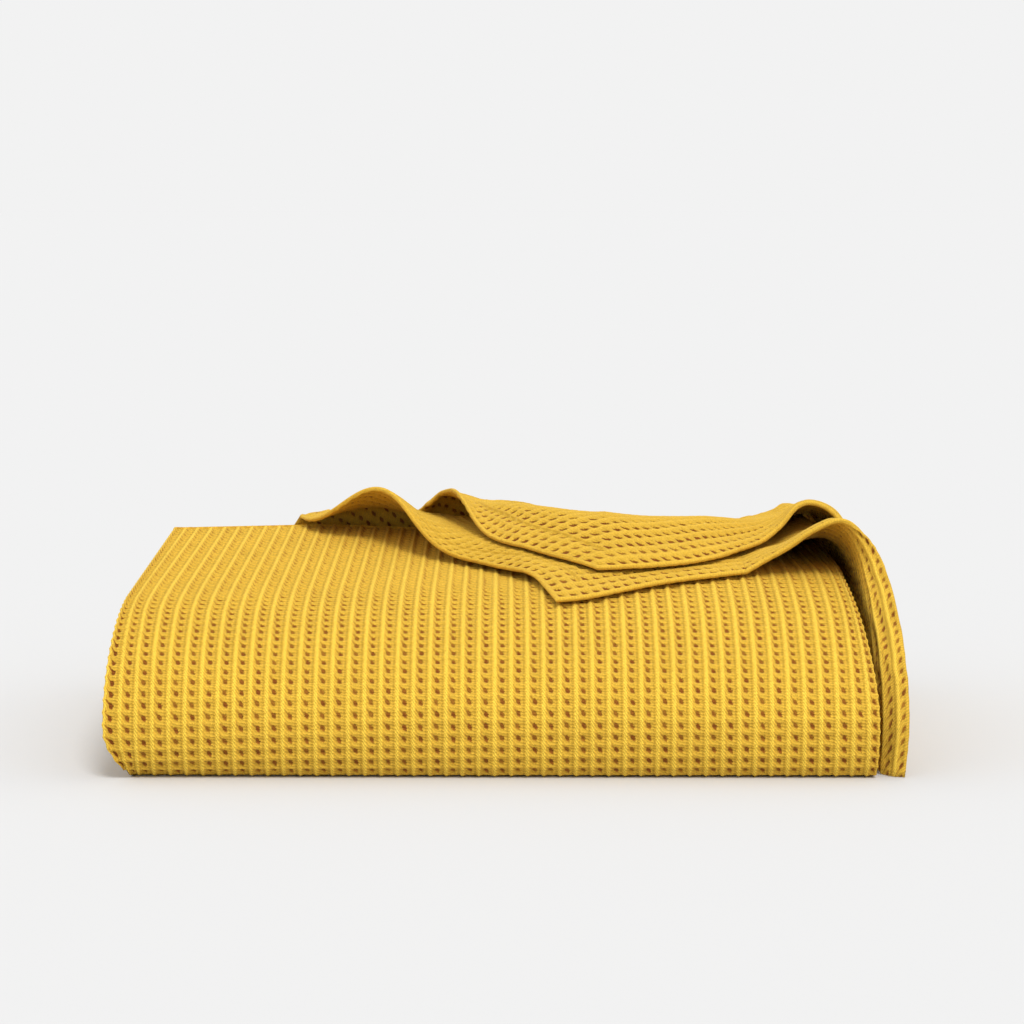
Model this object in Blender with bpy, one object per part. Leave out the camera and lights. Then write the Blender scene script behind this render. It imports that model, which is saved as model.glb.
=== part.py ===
# A waffle weave cotton blanket folded into a pile, as one sheet of cloth.
#
# The sheet starts as the upper of two hemmed corners on top of the pile, runs down the back,
# forward along the surface it lies on, round the big front fold and back over the top. From
# there it goes to and fro inside the pile, comes up the back again and ends as the lower
# corner, whose right end falls over the pile's right side and flares at its front edge.
#
# Metres, +X to the pile's right, +Y to its back, +Z up. The origin is the middle of the
# footprint, on the surface. "Depth" is measured backwards from the foremost point of the pile.
import bmesh
import bpy
import numpy as np

CLOTH = 0.0032  # thickness of the weave, ridge to ridge
PLY = 0.0046  # between the middles of two plies that lie on each other

PILE_DEPTH = 0.319
FOLDS = 15  # layers inside the pile, between its top ply and the inner bottom ply
LAYER_POINTS = 10  # points across a layer inside the pile
TURN_FACETS = 4  # facets round a fold inside the pile
FOLD_GAP = 0.0052  # least distance from the folds inside to the plies that wrap them
INNER_LOW = CLOTH / 2 + FOLD_GAP  # middle of the inner bottom ply
TYPICAL_TOP = 0.090
# How far the inner layers stray from their places at their sides, folds and middles, and how
# fast that changes across the pile and from front to back.
UNEVEN = {"side": 0.0021, "fold": 0.0014, "dip": 0.0005, "across": 14.0, "along": 9.0}
STRAYS = (
    {"part": 0.6, "by_fold": 2.4, "by_place": 1.0},
    {"part": 0.4, "by_fold": 5.1, "by_place": 2.0},
)

# The front fold's section at four places across: where it bulges furthest (nose), how far
# back it meets the surface (tuck), how deep and high its rounded shoulder is, how square that
# shoulder is (power), and how much the top rises from there to the back.
SECTIONS = (
    {"x": -0.205, "nose": 0.027, "tuck": 0.0180, "shoulder": 0.092, "crown": 0.0570, "power": 2.00,
     "rise": 0.0240},
    {"x": -0.120, "nose": 0.030, "tuck": 0.0160, "shoulder": 0.105, "crown": 0.0515, "power": 1.95,
     "rise": 0.0285},
    {"x": 0.000, "nose": 0.031, "tuck": 0.0145, "shoulder": 0.118, "crown": 0.0565, "power": 1.85,
     "rise": 0.0175},
    {"x": 0.130, "nose": 0.031, "tuck": 0.0140, "shoulder": 0.150, "crown": 0.0700, "power": 1.70,
     "rise": 0.0010},
)

# The sides of the pile. The lower left corner is rounded.
LEFT = -0.2287
LEFT_AT_BACK = -0.2215
LEFT_CORNER = {"height": 0.030, "width": 0.0165}
RIGHT_FRONT = 0.2055  # edge of the front fold
RIGHT_INSIDE = 0.1985  # edges of the layers inside
RIGHT_TAPER = 0.120  # depth at which the front fold's edge has drawn in to theirs

# The back of the pile: the plies bend down from the shoulder, each a little outside the last.
BACK_START = 0.292
BACK_REACH = {"inner": 0.0200, "outer": 0.0254}
BACK_POWER = 2.3
BACK_LIFT = 0.45  # above this part of its height a back ply follows the waves on top

# Left edges of the two corners on top, from the back of the pile to the corner's tip.
LOWER_EDGE = (
    {"x": -0.1400, "depth": 0.292},
    {"x": -0.1310, "depth": 0.270},
    {"x": -0.1130, "depth": 0.2475},
    {"x": -0.0855, "depth": 0.229},
    {"x": -0.0560, "depth": 0.196},
    {"x": -0.0200, "depth": 0.163},
    {"x": 0.0095, "depth": 0.122},
    {"x": 0.0255, "depth": 0.075},
)
UPPER_EDGE = (
    {"x": -0.0570, "depth": 0.292},
    {"x": -0.0440, "depth": 0.266},
    {"x": -0.0350, "depth": 0.240},
    {"x": -0.0140, "depth": 0.187},
    {"x": 0.0160, "depth": 0.146},
    {"x": 0.0510, "depth": 0.111},
)

# Front edges of the corners, from the tip to where they lift towards the right.
LOWER_FRONT = (
    {"x": 0.0255, "depth": 0.075},
    {"x": 0.0470, "depth": 0.0795},
    {"x": 0.0900, "depth": 0.100},
    {"x": 0.1200, "depth": 0.1105},
    {"x": 0.1400, "depth": 0.1175},
)
UPPER_FRONT = (
    {"x": 0.0510, "depth": 0.111},
    {"x": 0.0800, "depth": 0.116},
    {"x": 0.1070, "depth": 0.124},
    {"x": 0.1270, "depth": 0.138},
    {"x": 0.1430, "depth": 0.155},
)

# The right ends of the corners: the flared front edge (mouth) and the plain fall behind it.
LOWER_FALL = (
    {"mouth_x": 0.1400, "mouth_depth": 0.1175, "mouth_z": 0.1013, "x": 0.1400, "z": 0.1013},
    {"mouth_x": 0.1525, "mouth_depth": 0.1193, "mouth_z": 0.1085, "x": 0.1525, "z": 0.1045},
    {"mouth_x": 0.1650, "mouth_depth": 0.1160, "mouth_z": 0.1163, "x": 0.1650, "z": 0.1075},
    {"mouth_x": 0.1790, "mouth_depth": 0.1115, "mouth_z": 0.1268, "x": 0.1780, "z": 0.1128},
    {"mouth_x": 0.1955, "mouth_depth": 0.1080, "mouth_z": 0.1335, "x": 0.1905, "z": 0.1156},
    {"mouth_x": 0.2085, "mouth_depth": 0.1040, "mouth_z": 0.1265, "x": 0.2010, "z": 0.1110},
    {"mouth_x": 0.2183, "mouth_depth": 0.0920, "mouth_z": 0.1110, "x": 0.2075, "z": 0.0985},
    {"mouth_x": 0.2232, "mouth_depth": 0.0620, "mouth_z": 0.0860, "x": 0.2088, "z": 0.0780},
    {"mouth_x": 0.2243, "mouth_depth": 0.0290, "mouth_z": 0.0570, "x": 0.2088, "z": 0.0520},
    {"mouth_x": 0.2238, "mouth_depth": 0.0125, "mouth_z": 0.0290, "x": 0.2088, "z": 0.0270},
    {"mouth_x": 0.2215, "mouth_depth": 0.0105, "mouth_z": 0.0004, "x": 0.2085, "z": 0.0004},
)
UPPER_FALL = (
    {"mouth_x": 0.1430, "mouth_depth": 0.1550, "mouth_z": 0.1092, "x": 0.1430, "z": 0.1092},
    {"mouth_x": 0.1545, "mouth_depth": 0.1665, "mouth_z": 0.1128, "x": 0.1545, "z": 0.1120},
    {"mouth_x": 0.1660, "mouth_depth": 0.1755, "mouth_z": 0.1212, "x": 0.1670, "z": 0.1150},
    {"mouth_x": 0.1770, "mouth_depth": 0.1820, "mouth_z": 0.1330, "x": 0.1790, "z": 0.1190},
    {"mouth_x": 0.1885, "mouth_depth": 0.1880, "mouth_z": 0.1340, "x": 0.1915, "z": 0.1215},
    {"mouth_x": 0.2010, "mouth_depth": 0.1920, "mouth_z": 0.1262, "x": 0.2050, "z": 0.1165},
    {"mouth_x": 0.2120, "mouth_depth": 0.1920, "mouth_z": 0.1070, "x": 0.2132, "z": 0.1010},
    {"mouth_x": 0.2165, "mouth_depth": 0.1960, "mouth_z": 0.0780, "x": 0.2146, "z": 0.0760},
    {"mouth_x": 0.2165, "mouth_depth": 0.2000, "mouth_z": 0.0420, "x": 0.2146, "z": 0.0400},
)
# How far behind its front edge a corner's right end is still flared sideways, and raised. Low
# down, the lower corner's end turns out to face the front, between two parts of its way down.
FLARE = {"length": 0.024, "raised": 0.070, "frontal": 0.013, "from": 0.35, "to": 0.62}

# Waves that lift the corners off the pile: place, half width, height, the depths between
# which the wave fades in from the front, and the part of its height left at the back.
LOWER_WAVE = {"x": -0.088, "width": 0.036, "height": 0.0355, "from": 0.150, "to": 0.215, "back": 0.30}
UPPER_WAVE = {"x": -0.0425, "width": 0.0155, "height": 0.0250, "from": 0.150, "to": 0.215, "back": 0.45}
# The corners billow: they rise behind their edges and sink again towards the back.
LOWER_BILLOW = (
    {"x": -0.060, "height": 0.0000, "length": 0.030, "back": 0.50},
    {"x": -0.045, "height": 0.0040, "length": 0.030, "back": 0.50},
    {"x": -0.020, "height": 0.0075, "length": 0.030, "back": 0.50},
    {"x": 0.0070, "height": 0.0075, "length": 0.030, "back": 0.50},
    {"x": 0.0255, "height": 0.0050, "length": 0.030, "back": 0.50},
    {"x": 0.0500, "height": 0.0015, "length": 0.030, "back": 0.50},
    {"x": 0.0800, "height": 0.0000, "length": 0.030, "back": 0.50},
)
UPPER_BILLOW = (
    {"x": -0.042, "height": 0.0000, "length": 0.024, "back": 1.00},
    {"x": -0.034, "height": 0.0020, "length": 0.028, "back": 0.90},
    {"x": -0.028, "height": 0.0055, "length": 0.033, "back": 0.80},
    {"x": -0.020, "height": 0.0088, "length": 0.038, "back": 0.65},
    {"x": -0.004, "height": 0.0150, "length": 0.044, "back": 0.45},
    {"x": 0.0265, "height": 0.0195, "length": 0.044, "back": 0.20},
    {"x": 0.0575, "height": 0.0220, "length": 0.046, "back": 0.12},
    {"x": 0.0865, "height": 0.0190, "length": 0.046, "back": 0.05},
    {"x": 0.1190, "height": 0.0168, "length": 0.044, "back": 0.05},
    {"x": 0.1430, "height": 0.0128, "length": 0.044, "back": 0.05},
)
BILLOW_BLEND = np.linspace(-0.018, 0.018, 5)  # the edge is rounded over these places beside x
CREST = 0.03  # how round a billow's crest is
CROWDING = {"more": 2.5, "spread": 1.6}  # how much closer points lie on a wave, and how wide
UPPER_BASE = {"start": -0.062, "end": -0.046}  # the upper wave rises from the ply below here

# Steps along the curves that other points are measured on or put on.
FINE = {"front": 60, "wall": 80, "across": 200}
TURN_TRIES = {"start": 0.200, "step": 0.0005}  # depths at which a fold inside may turn

# Where rows of points cross: distances behind a corner's front edge, as parts of the way to
# the back shoulder, and heights up the back. Rows below PLAIN_BELOW need few points.
FRONT_BELOW = np.linspace(0.0, 0.5, 7)  # round the front fold, below and above its nose
FRONT_ABOVE = np.linspace(0.5, 0.97, 10)[1:]
BOTTOM_DEPTHS = np.linspace(BACK_START, 0.03, 6)
TOP_PARTS = (0.2, 0.42, 0.64, 0.86)  # of the way from the front fold to the back
LAYER_PARTS = (0.33, 0.67)
UPPER_LAGS = (0.0, 0.04, 0.08, 0.13, 0.2, 0.3, 0.42, 0.56, 0.7, 0.85, 1.0)
LOWER_LAGS = (0.0, 0.008, 0.02, 0.034, 0.048, 0.08, 0.13, 0.2, 0.28, 0.37, 0.48, 0.6, 0.73, 0.86, 1.0)
BACK_STEPS = (0.93, 0.86, 0.77, 0.66, 0.52, 0.37, 0.23, 0.11, 0.04)
PLAIN_BELOW = 0.7
# Points in a row of a corner: on top, down the side, and those of the side that the back ply
# hangs from too.
UPPER_POINTS = {"top": 14, "fall": 12, "hung": 8}
LOWER_POINTS = {"top": 18, "fall": 19, "hung": 10}

COLOUR = (0.76, 0.46, 0.055, 1.0)


def column(rows, name):
    return np.array([row[name] for row in rows])


def section(name, x):
    return np.interp(x, column(SECTIONS, "x"), column(SECTIONS, name))


def ease(value, start, end):
    part = np.clip((value - start) / (end - start), 0.0, 1.0)
    return part * part * (3.0 - 2.0 * part)


def along(rows, names, steps):
    """Points on the smooth curve through a table's rows, at steps from 0 to 1 along it."""
    table = np.stack([column(rows, name) for name in names], axis=1)
    ends = np.concatenate([2 * table[:1] - table[1:2], table, 2 * table[-1:] - table[-2:-1]])
    place = np.clip(np.asarray(steps), 0.0, 1.0) * (len(table) - 1)
    first = np.minimum(place.astype(int), len(table) - 2)
    part = (place - first)[:, None]
    before, start, end, after = (ends[first + shift] for shift in range(4))
    return 0.5 * (
        2 * start
        + (end - before) * part
        + (2 * before - 5 * start + 4 * end - after) * part**2
        + (3 * start - 3 * end + after - before) * part**3
    )


def flat_height(x, depth):
    """Middle of the pile's top ply, without the rounding at its front: a gentle rise."""
    crown = section("nose", x) + section("crown", x) - CLOTH / 2
    return crown + section("rise", x) * depth / BACK_START


def top_height(x, depth):
    """Middle of the pile's top ply, with its rounded shoulder at the front."""
    crown, shoulder, power = (section(name, x) for name in ("crown", "shoulder", "power"))
    ahead = np.clip(1.0 - depth / shoulder, 0.0, 1.0)
    rounded = (1.0 - ahead**power) ** (1.0 / power)
    return flat_height(x, depth) - (crown - CLOTH / 2) * (1.0 - rounded)


def front_fold(x, step):
    """Depth and height of the front fold, from the surface (step 0) to its shoulder (1)."""
    nose, tuck, shoulder = (section(name, x) for name in ("nose", "tuck", "shoulder"))
    turn = np.pi * (step - 0.5)
    ahead = abs(np.cos(turn))
    under = CLOTH / 2 + (tuck - CLOTH / 2) * (1.0 - ahead)
    over = CLOTH / 2 + (shoulder - CLOTH / 2) * (1.0 - ahead ** (2 / section("power", x)))
    depth = np.where(turn < 0, under, over)
    low = nose + (nose - CLOTH / 2) * np.sin(turn)
    return depth, np.where(turn < 0, low, top_height(x, depth - CLOTH / 2))


def back_fold(reach, low, high, step):
    """Depth and height of a ply behind the pile, from its lowest (step 0) to its highest (1)."""
    turn = np.pi * (step - 0.5)
    across = abs(np.cos(turn)) ** (2 / BACK_POWER)
    up = np.sign(turn) * abs(np.sin(turn)) ** (2 / BACK_POWER)
    return BACK_START + reach * across, (low + high) / 2 + (high - low) / 2 * up


def wave(shape, x, depth):
    swell = np.exp(-(((x - shape["x"]) / shape["width"]) ** 2))
    sink = (1.0 - shape["back"]) * ease(depth, shape["to"], BACK_START)
    return shape["height"] * swell * (ease(depth, shape["from"], shape["to"]) - sink)


def billow(table, edges, x, depth):
    """How far a corner rises behind its edge: evenly up to a round crest, and down again."""
    beside = np.asarray(x)[..., None] + BILLOW_BLEND
    start = np.interp(beside, column(edges, "x"), column(edges, "depth")).mean(axis=-1)
    height, length, back = (np.interp(x, column(table, "x"), column(table, name))
                            for name in ("height", "length", "back"))
    part = np.maximum((depth - start) / length, 0.0)
    rise = (part + np.sqrt(1.0 + CREST) - np.sqrt((1.0 - part) ** 2 + CREST)) / 2
    crest = start + length
    return height * (rise - (1.0 - back) * ease(depth, crest, np.maximum(BACK_START, crest + length)))


def lower_height(x, depth):
    lift = wave(LOWER_WAVE, x, depth) + billow(LOWER_BILLOW, LOWER_EDGE + LOWER_FRONT[1:], x, depth)
    return top_height(x, depth) + PLY + lift


def upper_height(x, depth):
    lift = wave(UPPER_WAVE, x, depth) + billow(UPPER_BILLOW, UPPER_EDGE + UPPER_FRONT[1:], x, depth)
    lift = lift * ease(x, UPPER_BASE["start"], UPPER_BASE["end"])
    return lower_height(x, depth) + PLY + lift


def left_edge(height, depth):
    """The pile's left side, drawn in round its lower corner and a little towards the back."""
    below = np.clip(1.0 - height / LEFT_CORNER["height"], 0.0, 1.0)
    side = LEFT + (LEFT_AT_BACK - LEFT) * depth / PILE_DEPTH
    return side + LEFT_CORNER["width"] * below**2


def points(x, depth, height):
    shape = np.broadcast_arrays(x, depth, height)
    return np.stack([shape[0], shape[1] - PILE_DEPTH / 2, shape[2]], axis=-1)


def layer_x(left, right):
    return np.linspace(left, right, LAYER_POINTS)


def stray(fold, place):
    """Where a layer strays from its place, between -1 and 1: uneven, but always the same."""
    return sum(wander["part"] * np.sin(wander["by_fold"] * fold + wander["by_place"] * place)
               for wander in STRAYS)


def crowded_x(left, right, shape, count):
    """Places across from left to right that lie closer together on a wave."""
    fine = np.linspace(left, right, FINE["across"])
    away = (fine - shape["x"]) / (shape["width"] * CROWDING["spread"])
    weight = 1.0 + CROWDING["more"] * np.exp(-(away**2))
    total = np.cumsum(weight)
    total = (total - total[0]) / (total[-1] - total[0])
    return np.interp(np.linspace(0.0, 1.0, count), total, fine)


def corner_rows(edge, front, fall, height, crowd, lags, count, turned):
    """A corner on top of the pile: rows from the back shoulder to the front edge.

    A row runs from the corner's left edge across the pile and down its right side. lags are
    the rows' distances behind the front edge, as parts of the way to the shoulder. turned is
    how far the low front edge of the right side turns to face the front.
    """
    down = np.linspace(0.0, 1.0, count["fall"])[1:]
    line_x, line_depth = along(front, ("x", "depth"), np.linspace(0.0, 1.0, FINE["front"])).T
    mouth_x, mouth_depth, mouth_z, fall_x, fall_z = along(
        fall, ("mouth_x", "mouth_depth", "mouth_z", "x", "z"), down).T
    rows = []
    for lag in lags:
        left_x, left_depth = along(edge, ("x", "depth"), [1.0 - lag])[0]
        x = crowded_x(left_x, line_x[-1], crowd, count["top"])
        across = (x - left_x) / (line_x[-1] - left_x)
        near = np.interp(line_x[0] + across * (line_x[-1] - line_x[0]), line_x, line_depth)
        near = (1.0 - lag) * near + lag * BACK_START
        near = near + (left_depth - near[0]) * (1.0 - across) ** 2
        top = points(x, near, height(x, near))
        behind = lag * (BACK_START - mouth_depth)
        flare = np.clip(1.0 - behind / FLARE["length"], 0.0, 1.0) ** 2
        round_end = 1.0 - np.sqrt(1.0 - np.clip(1.0 - behind / FLARE["frontal"], 0.0, 1.0) ** 2)
        flare = flare + (round_end - flare) * ease(down, FLARE["from"], FLARE["to"]) * turned
        raised = 1.0 - ease(behind, 0.0, FLARE["raised"])
        side_x = fall_x + (mouth_x - fall_x) * flare
        side_z = fall_z + (mouth_z - fall_z) * raised
        side_z = side_z + (top[-1, 2] - fall[0]["z"]) * (1.0 - down) ** 3
        side = points(side_x, mouth_depth + behind, side_z)
        rows.append(np.concatenate([top, side]))
    return rows[::-1]


def back_rows(top, corner_height, reach, low, plies):
    """A ply that hangs down the back from a corner's first row, to its lowest height, low.

    The first row leaves the corner's height only where it falls on the right. reach is how far
    the ply stands back, and plies is how many plies above the pile's top ply it starts.
    """
    left = left_edge(low, PILE_DEPTH / 2)
    here = np.linspace(0.0, 1.0, len(top))
    fallen = top[:, 2] - corner_height(top[:, 0], BACK_START)
    rows = []
    for step in BACK_STEPS:
        part = here if step > PLAIN_BELOW else np.linspace(0.0, 1.0, LAYER_POINTS)
        plain = left + (RIGHT_INSIDE - left) * part
        x = plain + (np.interp(part, here, top[:, 0]) - plain) * ease(step, -0.1, 1.0)
        level = top_height(x, BACK_START) + PLY * plies
        high = corner_height(x, BACK_START) + np.interp(part, here, fallen)
        high = level + (high - level) * ease(step, BACK_LIFT, 1.0)
        depth, height = back_fold(reach, low, high, step)
        rows.append(points(x, depth, height))
    return rows


def turn_depth(x, share, at_front):
    """Depth of a fold's centre at one place across, as close as it comes to the ply round it.

    share is the fold's own place, as a part of the way down the pile.
    """
    steps = np.linspace(0.0, 1.0, FINE["wall"])
    start, step = TURN_TRIES["start"], TURN_TRIES["step"]
    if at_front:
        wall = front_fold(x, steps)
        tries = np.arange(start, 0.0, -step)
    else:
        wall = back_fold(BACK_REACH["inner"], INNER_LOW, top_height(x, BACK_START) + PLY, steps)
        tries = np.arange(start, PILE_DEPTH, step)
    span = flat_height(x, tries) - INNER_LOW
    level = INNER_LOW + span * (1.0 - share)
    away = np.hypot(wall[0] - tries[:, None], wall[1] - level[:, None]).min(axis=1)
    clear = away - span / (FOLDS + 1) / 2 > FOLD_GAP
    return tries[np.argmin(clear) - 1]


def turn_rows(fold):
    """Rows round one fold inside the pile, where the sheet turns back under itself."""
    at_front = fold % 2 == 1
    share = (fold + 0.5) / (FOLDS + 1)
    typical = INNER_LOW + (TYPICAL_TOP - INNER_LOW) * (1.0 - share)
    left = left_edge(typical, PILE_DEPTH / 2) + UNEVEN["side"] * (1.0 + stray(fold, 0.0))
    x = layer_x(left, RIGHT_INSIDE - UNEVEN["side"] * (1.0 + stray(fold, 1.0)) / 2)
    sign = -1.0 if at_front else 1.0
    centre = np.array([turn_depth(place, share, at_front) for place in x])
    centre = centre - sign * UNEVEN["fold"] * (1.0 + stray(fold, UNEVEN["across"] * x)) / 2
    span = flat_height(x, centre) - INNER_LOW
    radius = span / (FOLDS + 1) / 2
    level = INNER_LOW + span * (1.0 - share)
    return [points(x, centre + sign * radius * np.sin(turn), level + radius * np.cos(turn))
            for turn in np.linspace(0.0, np.pi, TURN_FACETS + 1)]


def inside_rows():
    """The layers inside the pile, to and fro from the top ply down to the inner bottom ply."""
    turns = [turn_rows(fold) for fold in range(FOLDS + 1)]
    rows = turns[0]
    for fold in range(FOLDS):
        first, second = turns[fold][-1], turns[fold + 1][0]
        for part in LAYER_PARTS:
            row = first + (second - first) * part
            place = UNEVEN["across"] * row[:, 0] + UNEVEN["along"] * part
            row[:, 2] += UNEVEN["dip"] * stray(fold, place)
            rows.append(row)
        rows += turns[fold + 1]
    return rows


def plain_rows():
    """The sheet between the two plies at the back: bottom, front fold, top and inside."""
    x = layer_x(left_edge(CLOTH / 2, PILE_DEPTH / 2), RIGHT_INSIDE)
    rows = [points(x, depth, CLOTH / 2) for depth in BOTTOM_DEPTHS]
    for step in np.concatenate([FRONT_BELOW, FRONT_ABOVE]):
        depth, height = front_fold(0.0, step)
        taper = (RIGHT_FRONT - RIGHT_INSIDE) * np.clip(depth / RIGHT_TAPER, 0.0, 1.0)
        x = layer_x(left_edge(height, depth), RIGHT_FRONT - taper)
        rows.append(points(x, *front_fold(x, step)))
    inside = inside_rows()
    first, second = rows[-1], inside[0]
    for part in TOP_PARTS:
        row = first + (second - first) * part
        row[:, 2] = top_height(row[:, 0], row[:, 1] + PILE_DEPTH / 2)
        rows.append(row)
    x = layer_x(left_edge(INNER_LOW, PILE_DEPTH / 2), RIGHT_INSIDE)
    low = [points(x, depth, INNER_LOW) for depth in BOTTOM_DEPTHS[-2::-1]]
    return rows + inside + low


def join_rows(mesh, first, second):
    """Faces between two rows of points, which may hold different numbers of points."""
    if len(first) == len(second):
        for left in range(len(first) - 1):
            mesh.faces.new((first[left], first[left + 1], second[left + 1], second[left]))
        return
    one, two = 0, 0
    while one < len(first) - 1 or two < len(second) - 1:
        ahead = (one + 1) / (len(first) - 1) <= (two + 1) / (len(second) - 1)
        if (ahead and one < len(first) - 1) or two == len(second) - 1:
            mesh.faces.new((first[one], first[one + 1], second[two]))
            one += 1
        else:
            mesh.faces.new((first[one], second[two + 1], second[two]))
            two += 1


def cotton():
    material = bpy.data.materials.new("yellow cotton")
    material.use_nodes = True
    shader = material.node_tree.nodes["Principled BSDF"]
    shader.inputs["Base Color"].default_value = COLOUR
    shader.inputs["Roughness"].default_value = 0.9
    shader.inputs["Metallic"].default_value = 0.0
    return material


def add_rows(mesh, rows):
    """Faces through rows of points or of vertices that the mesh already has."""
    made = [[item if isinstance(item, bmesh.types.BMVert) else mesh.verts.new(item)
             for item in row] for row in rows]
    for first, second in zip(made, made[1:]):
        join_rows(mesh, first, second)
    return made


def sheet():
    """The whole sheet as one surface, in the middle of the cloth's thickness."""
    mesh = bmesh.new()
    upper = corner_rows(UPPER_EDGE, UPPER_FRONT, UPPER_FALL, upper_height, UPPER_WAVE,
                        UPPER_LAGS, UPPER_POINTS, 0.0)
    lower = corner_rows(LOWER_EDGE, LOWER_FRONT, LOWER_FALL, lower_height, LOWER_WAVE,
                        LOWER_LAGS, LOWER_POINTS, 1.0)
    upper_hung = UPPER_POINTS["top"] + UPPER_POINTS["hung"]
    lower_hung = LOWER_POINTS["top"] + LOWER_POINTS["hung"]
    outer = back_rows(upper[0][:upper_hung], upper_height, BACK_REACH["outer"], CLOTH / 2, 2)
    inner = back_rows(lower[0][:lower_hung], lower_height, BACK_REACH["inner"], INNER_LOW, 1)
    first = add_rows(mesh, upper[::-1])[-1][:upper_hung]
    last = add_rows(mesh, lower)[0][:lower_hung]
    add_rows(mesh, [first] + outer + plain_rows() + inner[::-1] + [last])
    data = bpy.data.meshes.new("blanket")
    mesh.to_mesh(data)
    mesh.free()
    data.shade_smooth()
    return data


def blanket():
    thing = bpy.data.objects.new("blanket", sheet())
    thing.data.materials.append(cotton())
    bpy.context.collection.objects.link(thing)
    thickness = thing.modifiers.new("thickness", "SOLIDIFY")
    thickness.thickness = CLOTH
    thickness.offset = 0.0
    thickness.use_even_offset = True
    thickness.use_rim = True


for old in list(bpy.data.objects):
    bpy.data.objects.remove(old, do_unlink=True)
blanket()
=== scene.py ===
import bpy
import numpy as np
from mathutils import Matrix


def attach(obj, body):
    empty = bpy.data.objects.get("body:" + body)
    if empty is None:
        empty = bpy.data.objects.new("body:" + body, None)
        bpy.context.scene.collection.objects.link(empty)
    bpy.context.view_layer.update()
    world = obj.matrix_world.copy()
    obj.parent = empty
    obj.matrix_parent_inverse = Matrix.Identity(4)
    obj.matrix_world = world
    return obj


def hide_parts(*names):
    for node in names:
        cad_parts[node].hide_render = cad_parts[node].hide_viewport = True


# Waffle weave blanket folded into a pile. Metres, x to the right, y to the back, z up.
# "depth" is measured backwards from the foremost point of the pile.
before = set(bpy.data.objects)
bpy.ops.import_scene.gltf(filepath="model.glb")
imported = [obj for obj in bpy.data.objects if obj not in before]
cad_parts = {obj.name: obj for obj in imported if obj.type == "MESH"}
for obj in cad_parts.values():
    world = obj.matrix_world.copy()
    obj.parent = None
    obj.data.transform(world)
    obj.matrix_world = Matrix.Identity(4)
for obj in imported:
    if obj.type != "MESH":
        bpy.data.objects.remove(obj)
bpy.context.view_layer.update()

pile = {
    "depth": 0.319,
    "cloth": 0.0032,  # thickness of the weave, ridge to ridge
    "ply": 0.0046,  # between plies that lie on each other
    "folds": 15,
    "foldGap": 0.0052,  # from a fold's cloth to the ply that wraps it
    "typicalTop": 0.090,  # top of the inner layers, where their left ends are read off
    "left": -0.2287,
    "leftAtBack": -0.2215,
    "right": 0.2055,
    "rightInside": 0.1985,
    "rightTaper": 0.120,  # depth over which it goes from right to rightInside
    "cornerHeight": 0.030,  # the rounded lower left corner
    "cornerWidth": 0.0165,
    "backStart": 0.292,  # depth where the top bends down to the back
    "innerReach": 0.0200,  # how far the two plies at the back stand out behind that
    "outerReach": 0.0254,
    "backPower": 2.3,  # squareness of their curve
    "backLift": 0.45,  # part of the way up from which they rise to the corners' billows
}
halfCloth = pile["cloth"] / 2
innerLow = halfCloth + pile["foldGap"]

# The front fold at four places across: its furthest bulge, where it meets the surface, and
# the depth, height, squareness and rise to the back of its shoulder.
sections = {
    "x": [-0.205, -0.120, 0.000, 0.130],
    "nose": [0.027, 0.030, 0.031, 0.031],
    "tuck": [0.0180, 0.0160, 0.0145, 0.0140],
    "shoulder": [0.092, 0.105, 0.118, 0.150],
    "crown": [0.0570, 0.0515, 0.0565, 0.0700],
    "power": [2.00, 1.95, 1.85, 1.70],
    "rise": [0.0240, 0.0285, 0.0175, 0.0010],
}

weave = {
    "ribPitch": 0.00907,
    "rowPitch": 0.00702,
    "frontStart": 0.84,  # place of the front fold's left edge, in ribs
    "pitAt": 0.435,  # middle of a cell's pit, in ribs from the rib on its left
    "relief": 0.0027,
    "cornerRelief": 0.0024,
    "edgeRound": 0.0019,
    "edgeThin": 0.2,  # least part of the thickness that is left at an edge
    # sizes of a rib, a bar and a pit, in cells, and how sunk the cloth is between them
    "ribWidth": 0.13,
    "barWidth": 0.20,
    "pitWidth": 0.17,
    "pitHeight": 0.25,
    "between": 0.50,
    "barRise": 0.30,
    "leftFlank": {"at": 0.76, "width": 0.09, "depth": 0.3, "even": 0.55, "height": 0.3},
}


# a column of sections, in straight lines between its places across
def section(name, x):
    return np.interp(x, sections["x"], sections[name])


# 3t^2 - 2t^3 of the part t of the way from start to end
def ease(value, start, end):
    part = np.clip((value - start) / (end - start), 0, 1)
    return part * part * (3 - 2 * part)


# Catmull-Rom cubic through the table's rows, at steps from 0 to 1; one column a name
def smoothLine(table, names, steps):
    knots = np.stack([np.array(table[name]) for name in names], axis=1)
    ends = np.concatenate([2 * knots[:1] - knots[1:2], knots, 2 * knots[-1:] - knots[-2:-1]])
    place = np.clip(steps, 0, 1) * (len(knots) - 1)
    first = np.minimum(place.astype(int), len(knots) - 2)
    part = (place - first)[:, None]
    before, start, end, after = (ends[first + shift] for shift in range(4))
    line = 2 * start + (end - before) * part
    line += (2 * before - 5 * start + 4 * end - after) * part**2
    line += (3 * start - 3 * end + after - before) * part**3
    return (line / 2).T


# nose + crown, rising evenly to the back
def flatHeight(x, depth):
    crown = section("nose", x) + section("crown", x) - halfCloth
    return crown + section("rise", x) * depth / pile["backStart"]


# flatHeight less the crown times 1 - (1 - (1 - depth/shoulder)^p)^(1/p)
def topHeight(x, depth):
    power = section("power", x)
    ahead = np.clip(1 - depth / section("shoulder", x), 0, 1)
    rounded = (1 - ahead**power) ** (1 / power)
    return flatHeight(x, depth) - (section("crown", x) - halfCloth) * (1 - rounded)


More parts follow.
